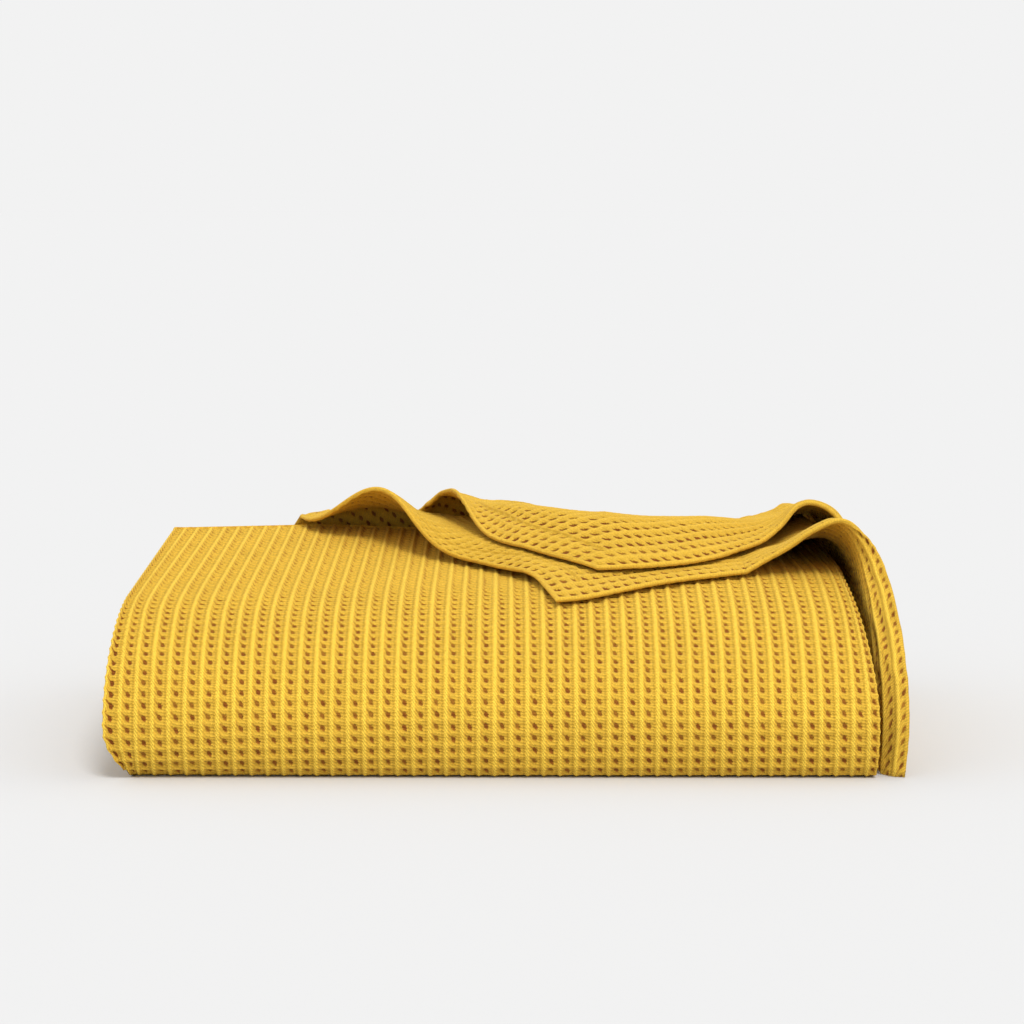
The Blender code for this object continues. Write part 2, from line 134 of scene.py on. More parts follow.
# half an ellipse below the nose, and above it depth = shoulder (1 - cos^(2/p))
def frontFold(x, step):
    nose, tuck, shoulder = (section(name, x) for name in ("nose", "tuck", "shoulder"))
    turn = np.pi * (step - 0.5)
    ahead = abs(np.cos(turn))
    under = halfCloth + (tuck - halfCloth) * (1 - ahead)
    over = halfCloth + (shoulder - halfCloth) * (1 - ahead ** (2 / section("power", x)))
    depth = np.where(turn < 0, under, over)
    low = nose + (nose - halfCloth) * np.sin(turn)
    return depth, np.where(turn < 0, low, topHeight(x, depth - halfCloth))


# superellipse from the lowest point (step 0) out to the back and up to the highest (step 1)
def backFold(reach, low, high, step):
    turn = np.pi * (step - 0.5)
    across = abs(np.cos(turn)) ** (2 / pile["backPower"])
    up = np.sign(turn) * abs(np.sin(turn)) ** (2 / pile["backPower"])
    return pile["backStart"] + reach * across, (low + high) / 2 + (high - low) / 2 * up


# side edge drawn in by width (1 - z/height)^2 round the lower corner, and evenly to the back
def leftEdge(height, depth):
    below = np.clip(1 - height / pile["cornerHeight"], 0, 1)
    side = pile["left"] + (pile["leftAtBack"] - pile["left"]) * depth / pile["depth"]
    return side + pile["cornerWidth"] * below**2


# places on the pile: y is the depth less half the pile's depth
def points(x, depth, height):
    shape = np.broadcast_arrays(x, depth, height)
    return np.stack([shape[0], shape[1] - pile["depth"] / 2, shape[2]], axis=-1)


# running length of a grid's lines, along its rows (axis 0) or along its columns (axis 1)
def running(grid, axis):
    step = np.linalg.norm(np.diff(grid, axis=axis), axis=2)
    start = np.zeros_like(np.take(step, [0], axis=axis))
    return np.concatenate([start, np.cumsum(step, axis=axis)], axis=axis)


# each line of the grid (axis 0) taken again at the given distances along it
def placedAlong(grid, distance):
    run = running(grid, 0).T
    shift = np.arange(len(run))[:, None] * (run.max() + 1)
    place = np.clip(distance.T, 0, run[:, -1:]) + shift
    lines = [np.interp(place, (run + shift).ravel(), grid[..., k].T.ravel()) for k in range(3)]
    return np.stack(lines, axis=-1).transpose(1, 0, 2)


# unit cross product of the steps across and along the grid
def gridNormals(grid):
    across = np.gradient(grid, axis=1)
    along = np.gradient(grid, axis=0)
    normal = np.cross(across, along)
    return normal / np.linalg.norm(normal, axis=2, keepdims=True)


# a bell: e^-((value - middle) / width)^2
def bump(value, middle, width):
    return np.exp(-(((value - middle) / width) ** 2))


# how far the cloth is sunk between the ribs: 1 less a bell at each whole a, times a depth that
# is less on the bars at whole b, and a groove on each rib's left flank
def hollowIn(a, b):
    ribPart, rowPart = a - np.floor(a), b - np.floor(b)
    rib = bump(ribPart, 0, weave["ribWidth"]) + bump(ribPart, 1, weave["ribWidth"])
    flank = weave["leftFlank"]
    middle = bump(rowPart, 0.5, flank["height"])
    side = bump(ribPart, flank["at"], flank["width"])
    side = side * (flank["even"] + (1 - flank["even"]) * middle)
    bar = bump(rowPart, 0, weave["barWidth"]) + bump(rowPart, 1, weave["barWidth"])
    return (1 - rib) * (weave["between"] - weave["barRise"] * bar) + flank["depth"] * side


# a cell's pit: a bell across at pitAt times a bell midway between two bars
def pitIn(a, b, pitAt, width=weave["pitWidth"], height=weave["pitHeight"]):
    ribPart, rowPart = a - np.floor(a), b - np.floor(b)
    return bump(ribPart, pitAt, width) * bump(rowPart, 0.5, height)


# height of a rounded edge: the circle sqrt(1 - (1 - d/r)^2), but never thinner than edgeThin
def roundedEdge(distance):
    inside = np.clip(1 - distance / weave["edgeRound"], 0, 1)
    return np.maximum(np.sqrt(1 - inside**2), weave["edgeThin"])


# quads of the outer side, quads of the coarser inner side and the rim that joins them
def clothFaces(rows, columns, keptRows, keptColumns):
    outer = np.arange(rows * columns).reshape(rows, columns)
    inner = np.arange(len(keptRows) * len(keptColumns)).reshape(len(keptRows), len(keptColumns))
    inner = inner + rows * columns
    top = np.stack([outer[:-1, :-1], outer[:-1, 1:], outer[1:, 1:], outer[1:, :-1]], axis=-1)
    low = np.stack([inner[:-1, :-1], inner[1:, :-1], inner[1:, 1:], inner[:-1, 1:]], axis=-1)
    seams = (
        (outer[0], inner[0], keptColumns, True),
        (outer[-1], inner[-1], keptColumns, False),
        (outer[:, 0], inner[:, 0], keptRows, False),
        (outer[:, -1], inner[:, -1], keptRows, True),
    )
    rims = []
    for line, seam, kept, turned in seams:
        for near, far, first, last in zip(seam, seam[1:], kept, kept[1:]):
            rim = [*line[first:last + 1].tolist(), int(far), int(near)]
            rims.append(rim[::-1] if turned else rim)
    return top.reshape(-1, 4).tolist(), low.reshape(-1, 4).tolist(), rims


# one piece of cloth: its middle surface pushed out and in along the normals. A side is its
# cells (a, b), how sunk it is (which also paints shade in its hollows), how holed it is (how much
# painted shade its pits get), and its height from the middle.
def layCloth(name, middle, outside, inside, keptRows, keptColumns):
    normal = gridNormals(middle)
    kept = np.ix_(keptRows, keptColumns)
    outer = middle + normal * outside["height"][..., None]
    inner = (middle - normal * inside["height"][..., None])[kept]
    top, low, rims = clothFaces(*middle.shape[:2], keptRows, keptColumns)
    vertices = np.concatenate([outer.reshape(-1, 3), inner.reshape(-1, 3)])
    mesh = bpy.data.meshes.new(name)
    mesh.from_pydata(vertices.tolist(), [], top + low + rims)
    smooth = np.ones(len(mesh.polygons), bool)
    smooth[len(top) + len(low):] = False
    mesh.polygons.foreach_set("use_smooth", smooth)

    def bothSides(key):
        return np.concatenate([outside[key].ravel(), inside[key][kept].ravel()]).astype(np.float32)

    cells = np.stack([bothSides("a"), bothSides("b")], axis=-1)
    corner = np.empty(len(mesh.loops), np.int32)
    mesh.loops.foreach_get("vertex_index", corner)
    mesh.uv_layers.new(name="cloth").data.foreach_set("uv", cells[corner].ravel())
    for key in ("sunk", "holes", "ribs"):
        mesh.attributes.new(key, "FLOAT", "POINT").data.foreach_set("value", bothSides(key))
    mesh.materials.append(cottonMaterial)
    thing = bpy.data.objects.new(name, mesh)
    bpy.context.collection.objects.link(thing)
    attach(thing, "root")
    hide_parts("blanket")
    width, length = running(middle, 1).max(), running(middle, 0).max()
    sides = np.cross(middle[1:, 1:] - middle[:-1, :-1], middle[1:, :-1] - middle[:-1, 1:])
    area = float(np.linalg.norm(sides, axis=2).sum() / 2)
    flat = (round(float(width), 3), round(float(length), 3))
    area = min(area, flat[0] * flat[1])
    triangles = sum(len(face) - 2 for face in top + low + rims)
    print(name, "triangles", triangles, "flat", flat, "area", round(area, 4))


# every so many of the numbers below count, and the last one
def everyNth(count, step):
    return np.unique(np.append(np.arange(0, count, step), count - 1))


# cotton; its rib colour is lighter than its body colour, painted light where the ribs stand up, and
# its pit colour is painted shade in the holes
cotton = {
    "rib": (0.86, 0.575, 0.066),
    "body": (0.70, 0.420, 0.042),
    "pit": (0.26, 0.076, 0.011),
    "roughness": 0.9,
    "specular": 0.15,
    "sheen": {"weight": 0.10, "roughness": 0.5, "tint": (1.0, 0.80, 0.35, 1.0)},
    "yarnHeight": 0.00036,
    "grain": 1100.0,
    "patches": 30.0,
    "strands": {"toRow": 3.0, "slant": 4.8, "stray": 0.8},  # slanted yarns on the ribs
    "threads": {"toRow": 4.0, "slant": 0.8, "stray": 1.4},  # threads across between the ribs
    # a rib's lighter colour, painted light on the raised rib: its half width in cells, and how much
    # of it a strand's low side has
    "ribEdge": {"at": 0.14, "ragged": 0.20, "soft": 0.08, "least": 0.55},
    # where the yarns are slanted: up to a rib's right flank, and from its left edge
    "slanted": {"end": 0.5, "endSoft": 0.3, "start": 0.86, "startSoft": 0.05},
    # where the painted shade on a rib's left flank lies, in cells from the rib on its left
    "leftFlankAt": 0.775,
    # how high the bump stands for each, and how deep a pit is
    "bumps": {"yarn": 0.25, "ribYarn": 0.35, "grain": 1.2, "pit": 0.8},
}
# how bright the cloth is: what each of these adds, or takes away; sunk paints shade in the
# hollows, and leftFlank paints shade on each rib's left flank
shades = {
    "plain": 0.56,
    "yarn": 0.08,
    "ribYarn": 0.20,
    "grain": 0.62,
    "patches": 0.12,
    "sunk": -0.20,
    "leftFlank": -0.15,
}
# the painted shade in a pit: its half sizes in cells, how far it strays aside and up, how ragged
# and how slanted it is, and how far it lies from the pit's middle on the corners. With s and u for
# the squares of the parts of its half sizes, it ends where (s^2 + round s + u^2 + round u) times
# shrink, and ribShrink more on the ribbed side, is end
darkPit = {
    "width": 0.16,
    "height": 0.27,
    "aside": 0.08,
    "up": 0.10,
    "ragged": 0.22,
    "slant": 0.7,
    "farSide": 0.07,
    "round": 0.6,
    "shrink": 0.5,
    "ribShrink": 0.22,
    "end": 1.25,
    "least": 0.75,  # how dark the least dark cell is
}
# the painted shadow that comes down to a pit from the rib on its left, as a slanted dark stroke
# between two places across
darkStroke = {
    "from": 0.10,
    "fromSoft": 0.10,
    "to": 0.52,
    "toSoft": 0.12,
    "slope": 1.6,
    "shift": 0.12,
    "stray": 0.2,
    "at": 0.62,
    "width": 0.17,
    "least": 0.25,  # how dark it is in the least dark cell, and how much more in others
    "more": 0.40,
}


class Wire:
    def __init__(self, tree, socket=None):
        self.tree, self.socket = tree, socket

    # any node: its type, its settings and its sockets' values, by name or number
    def node(self, kind, settings=None, values=None, out=0):
        made = self.tree.nodes.new(kind)
        for name, value in (settings or {}).items():
            setattr(made, name, value)
        for name, value in (values or {}).items():
            if isinstance(value, Wire):
                self.tree.links.new(value.socket, made.inputs[name])
            else:
                made.inputs[name].default_value = value
        return Wire(self.tree, made.outputs[out])

    def maths(self, operation, *values):
        return self.node("ShaderNodeMath", {"operation": operation}, dict(enumerate(values)))

    def mixed(self, first, second):
        settings = {"data_type": "RGBA", "clamp_factor": True}
        return self.node("ShaderNodeMix", settings, {0: self, 6: first, 7: second}, out=2)

    def __add__(self, other): return self.maths("ADD", self, other)
    def __radd__(self, other): return self.maths("ADD", other, self)
    def __sub__(self, other): return self.maths("SUBTRACT", self, other)
    def __rsub__(self, other): return self.maths("SUBTRACT", other, self)
    def __mul__(self, other): return self.maths("MULTIPLY", self, other)
    def __rmul__(self, other): return self.maths("MULTIPLY", other, self)
    def __truediv__(self, other): return self.maths("DIVIDE", self, other)
    def fract(self): return self.maths("FRACT", self)
    def sine(self): return self.maths("SINE", self)
    def clamped(self): return self.maths("MINIMUM", self.maths("MAXIMUM", self, 0.0), 1.0)
    def rising(self, start, width): return ((self - start) / width).clamped()
    def falling(self, end, width): return ((end - self) / width).clamped()


def makeCotton():
    material = bpy.data.materials.new("yellow cotton")
    material.use_nodes = True
    tree = material.node_tree
    shader = tree.nodes["Principled BSDF"]
    start = Wire(tree)

    def noise(scale, detail):
        values = {"Vector": here, "Scale": scale, "Detail": detail}
        return start.node("ShaderNodeTexNoise", values=values)

    def attribute(name):
        return start.node("ShaderNodeAttribute", {"attribute_name": name}, out=2)

    place = start.node("ShaderNodeUVMap", {"uv_map": "cloth"})
    a = start.node("ShaderNodeSeparateXYZ", values={0: place}, out=0)
    b = start.node("ShaderNodeSeparateXYZ", values={0: place}, out=1)
    sunk, holes, ribs = attribute("sunk"), attribute("holes"), attribute("ribs")
    here = start.node("ShaderNodeTexCoord", out=3)
    grain, patches = noise(cotton["grain"], 3.0), noise(cotton["patches"], 2.0)
    wholes = {0: start.maths("FLOOR", a), 1: start.maths("FLOOR", b)}
    cell = start.node("ShaderNodeCombineXYZ", values=wholes)
    luck = start.node("ShaderNodeTexWhiteNoise", values={"Vector": cell}, out=0)
    dice = start.node("ShaderNodeTexWhiteNoise", values={"Vector": cell}, out=1)
    chance = start.node("ShaderNodeSeparateXYZ", values={0: dice}, out=1)
    ribPart, rowPart = a.fract(), b.fract()
    # the painted shade in the pit: a soft dark oblong that is a little different in each cell
    fromPit = ribPart - weave["pitAt"]
    ragged = (grain - 0.5) * darkPit["ragged"]
    aside = fromPit - (1.0 - ribs) * darkPit["farSide"] - (luck - 0.5) * darkPit["aside"]
    aside = (aside + ragged) / darkPit["width"]
    up = rowPart - 0.5 - (chance - 0.5) * darkPit["up"] + ragged
    up = (up + fromPit * darkPit["slant"]) / darkPit["height"]
    aside, up = aside * aside, up * up
    reach = aside * (aside + darkPit["round"]) + up * (up + darkPit["round"])
    reach = reach * (darkPit["shrink"] + ribs * darkPit["ribShrink"])
    pit = (darkPit["end"] - reach).clamped() * (darkPit["least"] + luck * (1 - darkPit["least"]))
    # on the ribbed side a slanted stroke of painted shadow comes down to it
    slant = rowPart + darkStroke["shift"] + fromPit * darkStroke["slope"]
    slant = (slant - (chance - 0.5) * darkStroke["stray"]).fract()
    slant = (slant - darkStroke["at"]) / darkStroke["width"]
    stroke = (1.0 - slant * slant).clamped() * ribs
    stroke = stroke * ribPart.rising(darkStroke["from"], darkStroke["fromSoft"])
    stroke = stroke * ribPart.falling(darkStroke["to"], darkStroke["toSoft"])
    stroke = stroke * (darkStroke["least"] + chance * darkStroke["more"])
    pit = start.maths("MAXIMUM", pit, stroke) * holes
    # the yarns: slanted on the ribs and their right flanks, straight across elsewhere
    turn = 2 * np.pi
    strands = b * cotton["strands"]["toRow"] + ribPart * cotton["strands"]["slant"]
    strands = ((strands + grain * cotton["strands"]["stray"]) * turn).sine() * 0.5 + 0.5
    threads = b * cotton["threads"]["toRow"] + ribPart * cotton["threads"]["slant"]
    threads = ((threads + grain * cotton["threads"]["stray"]) * turn).sine() * 0.5 + 0.5
    where = cotton["slanted"]
    slanted = start.maths("MAXIMUM", ribPart.falling(where["end"], where["endSoft"]),
                          ribPart.rising(where["start"], where["startSoft"])) * ribs
    yarn = threads + (strands - threads) * slanted
    bumps = cotton["bumps"]
    height = yarn * (bumps["yarn"] + ribs * bumps["ribYarn"])
    height = height + grain * bumps["grain"] - pit * bumps["pit"]
    bumped = start.node("ShaderNodeBump", values={
        "Height": height, "Distance": cotton["yarnHeight"], "Strength": 1.0})
    # ribs painted lighter where they stand up to the light, with ragged edges, and painted shade on
    # their left flank
    edge = cotton["ribEdge"]
    fromRib = start.maths("MINIMUM", ribPart, 1.0 - ribPart)
    litRib = fromRib.falling(edge["at"] + (grain - 0.5) * edge["ragged"], edge["soft"]) * ribs
    litRib = litRib * (edge["least"] + strands * (1 - edge["least"]))
    # painted shade on the left flank of the next rib, where light from the right does not reach
    away = (ribPart - cotton["leftFlankAt"]) / weave["leftFlank"]["width"]
    leftFlank = (1.0 - away * away).clamped() * ribs
    colour = litRib.mixed((*cotton["body"], 1), (*cotton["rib"], 1))
    # painted shade: the dark pit colour laid over the pits and their strokes
    colour = pit.mixed(colour, (*cotton["pit"], 1))
    shade = shades["plain"] + yarn * (shades["yarn"] + ribs * shades["ribYarn"])
    shade = shade + grain * shades["grain"] + patches * shades["patches"]
    # painted shade: darker where the cloth is sunk, and on each rib's left flank
    shade = shade + sunk * shades["sunk"] + leftFlank * shades["leftFlank"]
    colour = start.node("ShaderNodeVectorMath", {"operation": "SCALE"}, {0: colour, "Scale": shade})
    tree.links.new(colour.socket, shader.inputs["Base Color"])
    tree.links.new(bumped.socket, shader.inputs["Normal"])
    shader.inputs["Roughness"].default_value = cotton["roughness"]
    shader.inputs["Metallic"].default_value = 0.0
    shader.inputs["Specular IOR Level"].default_value = cotton["specular"]
    shader.inputs["Sheen Weight"].default_value = cotton["sheen"]["weight"]
    shader.inputs["Sheen Roughness"].default_value = cotton["sheen"]["roughness"]
    shader.inputs["Sheen Tint"].default_value = cotton["sheen"]["tint"]
    return material


cottonMaterial = makeCotton()
print("cotton made")

# front fold and top ply
front = {
    "ribSteps": [0.0, 0.12, 0.24, 0.34, 0.435, 0.53, 0.64, 0.80],  # lines in a cell
    "rowSteps": [0.0, 0.25, 0.5, 0.75],
    "edgeSteps": (0, 0.0004, 0.0010, 0.0019),  # close lines, distances from the side edges
    "apart": 0.04,  # least distance of other lines from those, in cells
    "underLines": 30,
    "foldLines": 400,
    "topLines": 200,
    "foldEnd": 0.97,  # where the fold ends and the top ply goes on
    "underDepth": 0.052,  # how far back it reaches under the pile
    "evenFrom": 0.26,  # length after which the rows are fitted to the back fold
    "edgeCells": 2.6,  # cells at each side that make up for the sides' shape
    "spreadAt": [0.0, 0.030, 0.070, 0.123, 0.280],  # depths, and how far the ribs spread there
    "spread": [1.004, 1.0123, 1.0187, 1.016, 0.989],
    "middle": -0.003,
    "phase": 0.556,  # rows at the start of the fold
    "firstRow": 0.0006,  # least distance of the first row from the tuck's end
    "reliefStarts": (0.0004, 0.0022),  # the relief starts between these distances from the edge
    "pit": 0.72,  # how deep a pit is, as part of the relief
    "scallop": 0.00045,  # how far each row bulges at the sides
    # the cells at the left edge have wider, taller holes, nearer to the edge, with darker painted
    # shade in them
    "edgePit": {"aside": 0.13, "wider": 0.05, "taller": 0.10, "darker": 0.6},
}


# whole numbers plus the steps, kept between start and end, with close lines at both ends; an
# odd number of lines, so that every second one takes in both ends
def cellLines(steps, start, end, edges, pitch):
    whole = np.arange(np.floor(start), np.ceil(end) + 1)
    lines = (whole[:, None] + np.array(steps)).ravel()
    near = np.array(edges) / pitch
    inset = near[-1] + front["apart"]
    lines = lines[(lines > start + inset) & (lines < end - inset)]
    lines = np.concatenate([start + near, lines, (end - near)[::-1]])
    return lines if len(lines) % 2 else np.delete(lines, len(lines) // 2)


# the front fold goes on from the tuck under the pile to the back fold: lines along the sheet,
# with its vertices at even distances along them
def makeFront():
    aStart = weave["frontStart"]
    aEnd = aStart + (pile["right"] - pile["left"]) / weave["ribPitch"]
    a = cellLines(front["ribSteps"], aStart, aEnd, front["edgeSteps"], weave["ribPitch"])
    across = (a - aStart) / (aEnd - aStart)
    x = pile["left"] + (pile["right"] - pile["left"]) * across
    under = np.linspace(front["underDepth"], 0, front["underLines"])[:, None] + 0 * x
    under = section("tuck", x) + under[:-1] * (1 - section("tuck", x) / front["underDepth"])
    depth, height = frontFold(x, np.linspace(0, front["foldEnd"], front["foldLines"])[:, None])
    back = turnDepth(x, 0.5 / (pile["folds"] + 1), False)
    over = depth[-1] + (back - depth[-1]) * np.linspace(0, 1, front["topLines"])[1:, None]
    depth = np.concatenate([under, depth, over])
    height = np.concatenate([0 * under + halfCloth, height, topHeight(x, over)])
    line = points(x, depth, height)
    # rows at even distances; the last stretch is fitted to reach the same end
    length = running(line, 0)
    total, begin = length[-1], length[len(under)]
    ahead = int(begin.mean() / weave["rowPitch"])
    count = int((total.mean() - begin.mean()) / weave["rowPitch"])
    b = (np.arange(-ahead, count + 1)[:, None] + np.array(front["rowSteps"])).ravel()
    distance = begin + (b[:, None] - front["phase"]) * weave["rowPitch"]
    kept = distance.min(axis=1) > front["firstRow"]
    odd = 1 - kept.sum() % 2
    b, distance = b[kept][odd:], distance[kept][odd:]
    last = distance[-1]
    distance = distance + ease(distance, front["evenFrom"], last) * (total - last)
    distance[0] = 0
    middle = placedAlong(line, distance)
    depth, height = middle[..., 1] + pile["depth"] / 2, middle[..., 2]
    # the ribs spread a little, and the outermost cells fit them to the pile's sides
    left = leftEdge(height, depth)
    taper = np.clip(depth / pile["rightTaper"], 0, 1)
    right = pile["right"] - (pile["right"] - pile["rightInside"]) * taper
    spread = np.interp(depth, front["spreadAt"], front["spread"])
    ribX = front["middle"] + (x - front["middle"]) * spread
    fromLeft = np.clip(1 - (a - aStart) / front["edgeCells"], 0, 1) ** 2
    fromRight = np.clip(1 - (aEnd - a) / front["edgeCells"], 0, 1) ** 2
    a, b = a + 0 * b[:, None], b[:, None] + 0 * a
    scallop = front["scallop"] * np.cos(2 * np.pi * b)
    middle[..., 0] = (ribX + (left - scallop - ribX[:, :1]) * fromLeft
                      + (right + scallop - ribX[:, -1:]) * fromRight)
    edge = np.minimum(a - aStart, aEnd - a) * weave["ribPitch"]
    firstCell, wide = bump(a, aStart + 0.5, 0.5), front["edgePit"]
    pit = pitIn(a, b, weave["pitAt"] - wide["aside"] * firstCell,
                weave["pitWidth"] + wide["wider"] * firstCell,
                weave["pitHeight"] + wide["taller"] * firstCell)
    inward = ease(edge, *front["reliefStarts"])
    sunk = np.clip(hollowIn(a, b) + front["pit"] * pit, 0, 1) * inward
    rounding = roundedEdge(edge)
    outside = {
        "a": a + wide["aside"] * firstCell, "b": b, "sunk": sunk, "ribs": 0 * a + 1,
        "holes": inward * (1 + wide["darker"] * firstCell),
        "height": (halfCloth - weave["relief"] * sunk) * rounding,
    }
    underside = {
        "a": a, "b": b, "sunk": 0 * a + 0.5, "ribs": 0 * a,
        "holes": 0 * a,
        "height": halfCloth * rounding,
    }
    keptRows, keptColumns = everyNth(len(a), 4), everyNth(len(across), 2)
    layCloth("front-fold", middle, outside, underside, keptRows, keptColumns)


# depths tried for a fold's middle, and steps in which the ply that wraps it is measured
turnTries = {"start": 0.2, "step": 0.0005, "wallSteps": 80}


# depth of a fold's middle, pushed out until it is foldGap from the ply that wraps it
def turnDepth(x, share, atFront):
    steps = np.linspace(0, 1, turnTries["wallSteps"])
    place = np.asarray(x)[:, None, None]
    if atFront:
        wall = frontFold(place, steps)
        tries = np.arange(turnTries["start"], 0, -turnTries["step"])
    else:
        high = topHeight(place, pile["backStart"]) + pile["ply"]
        wall = backFold(pile["innerReach"], innerLow, high, steps)
        tries = np.arange(turnTries["start"], pile["depth"], turnTries["step"])
    span = flatHeight(place[..., 0], tries) - innerLow
    level = innerLow + span * (1 - share)
    away = np.hypot(wall[0] - tries[:, None], wall[1] - level[..., None]).min(axis=2)
    clear = away - span / (pile["folds"] + 1) / 2 > pile["foldGap"]
    return tries[np.argmin(clear, axis=1) - 1]


makeFront()
print("front fold laid")

# layers inside the pile
inside = {
    "edgeSteps": [0, 0.0006, 0.0014, 0.0026, 0.0042, 0.0062, 0.0085, 0.0110, 0.0140, 0.0190],
    "middleLines": 9,
    "rowStep": 0.0035,
    "turnFacets": 7,
    "endLines": 66,
    "sideStray": 0.0021,  # how far the layers' side edges, folds and middles stray
    "foldStray": 0.0014,
    "foldTurns": 14,  # radians a metre
    "dip": 0.0005,
    "dipTurns": (12, 9),  # radians a metre across, and from fold to fold
    "pit": 0.6,
    "sunk": 0.6,  # how far it is sunk, and how deep that makes it, as parts of the front's
    "relief": 0.5,
    "reliefStarts": (0.0004, 0.003),
    # how much painted shade its pits get
    "holes": 0.7,
    "dent": {"depth": 0.25, "width": 0.2, "ends": (0.001, 0.004)},
}


# 0.6 sin(2.4 fold + place) + 0.4 sin(5.1 fold + 2 place)
def stray(fold, place):
    return 0.6 * np.sin(2.4 * fold + place) + 0.4 * np.sin(5.1 * fold + 2 * place)


# half a circle of rows from the upper layer round to the lower one
def turnRows(fold, part):
    atFront = fold % 2 == 1
    share = (fold + 0.5) / (pile["folds"] + 1)
    typical = innerLow + (pile["typicalTop"] - innerLow) * (1 - share)
    left = leftEdge(typical, pile["depth"] / 2) + inside["sideStray"] * (1 + stray(fold, 0.0))
    right = pile["rightInside"] - inside["sideStray"] * (1 + stray(fold, 1.0)) / 2
    x = left + (right - left) * part
    sign = -1.0 if atFront else 1.0
    centre = turnDepth(x, share, atFront)
    centre = np.convolve(np.pad(centre, 2, mode="edge"), np.ones(5) / 5, mode="valid")
    centre = centre - sign * inside["foldStray"] * (1 + stray(fold, inside["foldTurns"] * x)) / 2
    span = flatHeight(x, centre) - innerLow
    radius = span / (pile["folds"] + 1) / 2
    level = innerLow + span * (1 - share)
    turn = np.linspace(0, np.pi, inside["turnFacets"])[:, None]
    return points(x, centre + sign * radius * np.sin(turn), level + radius * np.cos(turn))


# to and fro: straight layers between half circles, each dipping by dip sin(pi t) in its middle
def makeInside():
    width = pile["rightInside"] - pile["left"]
    near = np.array(inside["edgeSteps"]) / width
    middleLines = np.linspace(near[-1], 1 - near[-1], inside["middleLines"] + 2)[1:-1]
    part = np.concatenate([near, middleLines, (1 - near)[::-1]])
    turns = [turnRows(fold, part) for fold in range(pile["folds"] + 1)]
    rows = [turns[0]]
    for fold in range(pile["folds"]):
        first, second = turns[fold][-1], turns[fold + 1][0]
        count = int(np.linalg.norm(second - first, axis=1).mean() / inside["rowStep"])
        step = (np.arange(1, count) / count)[:, None]
        layer = first + (second - first) * step[..., None]
        across, along = inside["dipTurns"]
        dip = inside["dip"] * stray(fold, across * layer[..., 0] + along * step)
        layer[..., 2] += dip * np.sin(np.pi * step)
        rows += [layer, turns[fold + 1]]
    last = turns[-1][-1]
    end = last.copy()
    end[:, 1] = pile["backStart"] - pile["depth"] / 2
    step = np.linspace(0, 1, inside["endLines"])[1:, None, None]
    rows.append(last + (end - last) * step)
    middle = np.concatenate(rows)
    distance = running(middle, 0).mean(axis=1, keepdims=True)
    b = distance / weave["rowPitch"] + 0 * part
    a = part * width / weave["ribPitch"] + weave["frontStart"] + 0 * b
    edge = np.minimum(part, 1 - part) * width + 0 * b
    inward = ease(edge, *inside["reliefStarts"])
    sunk = hollowIn(a, b) + inside["pit"] * pitIn(a, b, weave["pitAt"])
    sunk = sunk * inward * inside["sunk"]
    # each row's threads turn back at the edge, with a dent between them
    dent = inside["dent"]
    between = bump(b - np.floor(b), 0.5, dent["width"])
    sunk = sunk + dent["depth"] * between * (1 - ease(edge, *dent["ends"]))
    side = {
        "a": a, "b": b, "sunk": sunk, "ribs": 0 * a + 0.5,
        "holes": inside["holes"] * inward,
        "height": (halfCloth - weave["relief"] * inside["relief"] * sunk) * roundedEdge(edge),
    }
    layCloth("inside-layers", middle, side, side, everyNth(len(middle), 2), everyNth(len(part), 2))


makeInside()
print("inside laid")

# the two corners on top and the plies they hang from behind

# the waves that lift their left ends: place, half width, height, the depths between which they
# fade in, and what is left of them at the back
waveDepths = {"from": 0.150, "to": 0.215}
lowerWave = {"x": -0.088, "width": 0.036, "height": 0.0355, "back": 0.30, **waveDepths}
upperWave = {"x": -0.0425, "width": 0.0155, "height": 0.0250, "back": 0.45, **waveDepths}
upperBase = {"start": -0.062, "end": -0.046}  # x between which the upper corner starts to lift
# how a corner billows: how high it rises behind its edge, how far behind, and what is left at
# the back
lowerBillow = {
    "x": [-0.060, -0.045, -0.020, 0.0070, 0.0255, 0.0500, 0.0800],
    "height": [0.0000, 0.0040, 0.0075, 0.0075, 0.0050, 0.0015, 0.0000],
    "length": [0.030] * 7,
    "back": [0.50] * 7,
}
upperBillow = {
    "x": [-0.0420, -0.0340, -0.0280, -0.0200, -0.0040, 0.0265, 0.0575, 0.0865, 0.1190, 0.1430],
    "height": [0.0000, 0.0020, 0.0055, 0.0088, 0.0150, 0.0195, 0.0220, 0.0190, 0.0168, 0.0128],
    "length": [0.024, 0.028, 0.033, 0.038, 0.044, 0.044, 0.046, 0.046, 0.044, 0.044],
    "back": [1.00, 0.90, 0.80, 0.65, 0.45, 0.20, 0.12, 0.05, 0.05, 0.05],
}
billowShape = {
    "blend": np.linspace(-0.018, 0.018, 5),  # its edge is rounded over these places beside x
    "crest": 0.03,  # how round its crest is
}


# a bell across, faded in between two depths and partly out again at the back
def wave(shape, x, depth):
    swell = bump(x, shape["x"], shape["width"])
    sink = (1 - shape["back"]) * ease(depth, shape["to"], pile["backStart"])
    return shape["height"] * swell * (ease(depth, shape["from"], shape["to"]) - sink)


